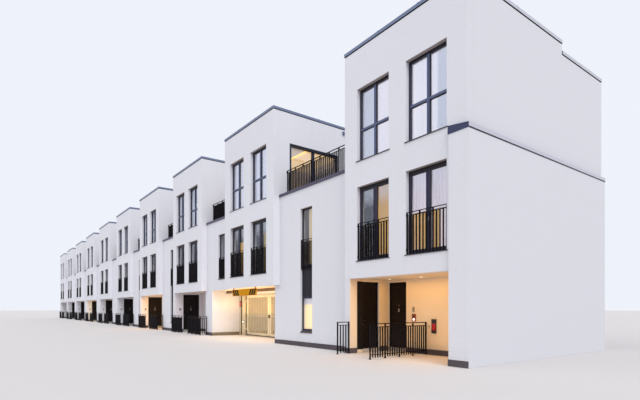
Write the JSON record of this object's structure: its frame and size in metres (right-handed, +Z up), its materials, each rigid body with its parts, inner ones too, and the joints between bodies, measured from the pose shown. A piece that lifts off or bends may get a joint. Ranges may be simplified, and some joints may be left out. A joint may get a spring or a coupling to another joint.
{
  "type": "terraced house row, 1:2 scale model",
  "caption": "White rendered terraced house row with flat roofs, set-back stair bays, roof terraces, dark railings, open porches and a gated passage, at half size.",
  "frame": {"origin": "on the ground, under the middle of the whole row's box", "axes": "+X along the row to the right as seen from the street, +Y from the street to the rear, +Z up"},
  "size_m": [39.848, 4.53, 5.215],
  "materials": {
    "render": "smooth white render, matt",
    "floor": "screed, matt",
    "roof": "mineral roofing, matt",
    "coping": "satin pale blue-grey",
    "ledge": "satin dark blue-grey",
    "plinth": "dark render, matt",
    "frame": "satin dark blue-grey",
    "glass": "clear",
    "sill": "satin grey",
    "railing": "satin dark brown",
    "gate": "satin beige",
    "sign": "satin yellow",
    "door": "satin near black",
    "stripe": "matt black",
    "fitting": "brushed",
    "number": "satin dark",
    "meter_box": "satin dark",
    "lamp_red": "gloss lens",
    "lamp_white": "gloss lens",
    "lit_room": "warm lit surface",
    "curtain": "woven cloth",
    "drape": "woven yellow cloth",
    "drape_dark": "woven dark green cloth",
    "soffit": "smooth render, matt",
    "sealant": "matt",
    "paver": "concrete pavers, matt"
  },
  "bodies": {
    "building": {"block_front_walls": "render", "bay_front_walls": "render", "porch_side_walls": "render", "porch_back_walls": "render", "lintels": "render", "party_walls": "render", "block_side_walls": "render", "step_walls": "render", "rear_walls": "render", "end_pier": "render", "ground_floors": "floor", "first_floor": "floor", "second_floor": "floor", "roofs": "roof", "terrace_decks": "roof", "long_copings": "coping", "side_copings": "coping", "terrace_ledges": "ledge", "plinths": "plinth", "upper_window_frames": "frame", "french_window_frames": "frame", "stair_window_frames": "frame", "rear_window_frames": "frame", "door_frames": "frame", "window_glass": "glass", "window_sills": "sill", "terrace_railings": "railing", "juliet_railings": "railing", "entrance_railings": "railing", "side_railings": "railing", "gate_beam": "railing", "gate_posts": "gate", "headroom_sign": "sign"},
    "gate_leaf_left": {"gate_leaf_left": "gate"},
    "gate_leaf_right": {"gate_leaf_right": "gate"},
    "side_door_a": {"side_door_a": "door"},
    "front_door_a": {"front_door_a": "door"},
    "side_door_c": {"side_door_c": "door"},
    "side_door_d": {"side_door_d": "door"},
    "side_door_e": {"side_door_e": "door"},
    "side_door_f": {"side_door_f": "door"},
    "side_door_g": {"side_door_g": "door"},
    "side_door_h": {"side_door_h": "door"},
    "side_door_i": {"side_door_i": "door"},
    "front_door_j": {"front_door_j": "door"}
  },
  "joints": [
    {"name": "gate_left_hinge", "type": "hinge", "parent": "building", "child": "gate_leaf_left", "pos_m": [11.779, -0.85, 0.6], "axis": [0, 0, 1], "range_deg": [0, 90]},
    {"name": "gate_right_hinge", "type": "hinge", "parent": "building", "child": "gate_leaf_right", "pos_m": [14.329, -0.85, 0.6], "axis": [0, 0, -1], "range_deg": [0, 90]},
    {"name": "side_door_a_hinge", "type": "hinge", "parent": "building", "child": "side_door_a", "pos_m": [17.436, -1.221, 0.65], "axis": [0, 0, -1], "range_deg": [0, 90]},
    {"name": "front_door_a_hinge", "type": "hinge", "parent": "building", "child": "front_door_a", "pos_m": [17.542, -0.88, 0.65], "axis": [0, 0, 1], "range_deg": [0, 90]},
    {"name": "front_door_j_hinge", "type": "hinge", "parent": "building", "child": "front_door_j", "pos_m": [-19.723, -0.88, 0.65], "axis": [0, 0, 1], "range_deg": [0, 90]},
    {"name": "side_door_c_hinge", "type": "hinge", "parent": "building", "child": "side_door_c", "pos_m": [8.491, -1.061, 0.65], "axis": [0, 0, -1], "range_deg": [0, 90]},
    {"name": "side_door_d_hinge", "type": "hinge", "parent": "building", "child": "side_door_d", "pos_m": [4.441, -1.061, 0.65], "axis": [0, 0, -1], "range_deg": [0, 90]},
    {"name": "side_door_e_hinge", "type": "hinge", "parent": "building", "child": "side_door_e", "pos_m": [0.391, -1.061, 0.65], "axis": [0, 0, -1], "range_deg": [0, 90]},
    {"name": "side_door_f_hinge", "type": "hinge", "parent": "building", "child": "side_door_f", "pos_m": [-3.659, -1.061, 0.65], "axis": [0, 0, -1], "range_deg": [0, 90]},
    {"name": "side_door_g_hinge", "type": "hinge", "parent": "building", "child": "side_door_g", "pos_m": [-7.709, -1.061, 0.65], "axis": [0, 0, -1], "range_deg": [0, 90]},
    {"name": "side_door_h_hinge", "type": "hinge", "parent": "building", "child": "side_door_h", "pos_m": [-11.759, -1.061, 0.65], "axis": [0, 0, -1], "range_deg": [0, 90]},
    {"name": "side_door_i_hinge", "type": "hinge", "parent": "building", "child": "side_door_i", "pos_m": [-15.809, -1.061, 0.65], "axis": [0, 0, -1], "range_deg": [0, 90]}
  ]
}
